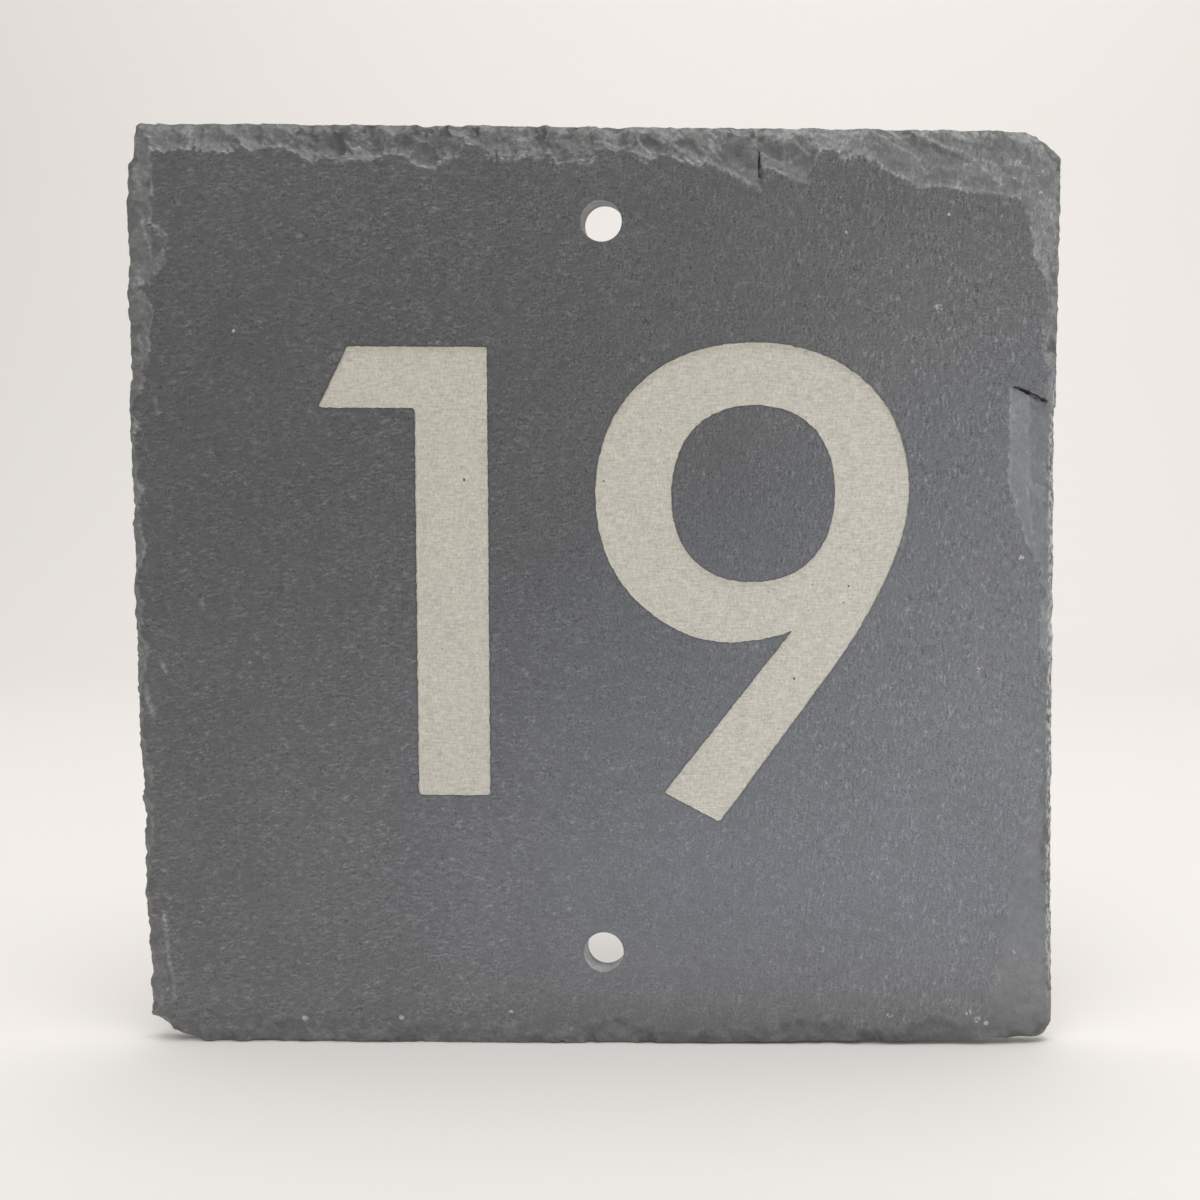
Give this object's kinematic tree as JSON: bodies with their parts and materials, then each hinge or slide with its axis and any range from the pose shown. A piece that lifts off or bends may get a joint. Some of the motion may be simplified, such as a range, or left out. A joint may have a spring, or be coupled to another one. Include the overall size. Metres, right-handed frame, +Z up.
{
  "type": "house number plaque",
  "caption": "Square slab of natural slate with hand-dressed chipped edges, a pale engraved house number and a fixing hole above and below it.",
  "frame": {"origin": "on the flat back face, midway between the two fixing holes", "axes": "+X to the right across the face as read from the front, +Y out of the back face into the wall, +Z up"},
  "size_m": [0.1508, 0.0044, 0.1501],
  "materials": {
    "slate": "matt riven slate"
  },
  "bodies": {
    "root": {"slate_plaque": "slate"}
  },
  "joints": []
}
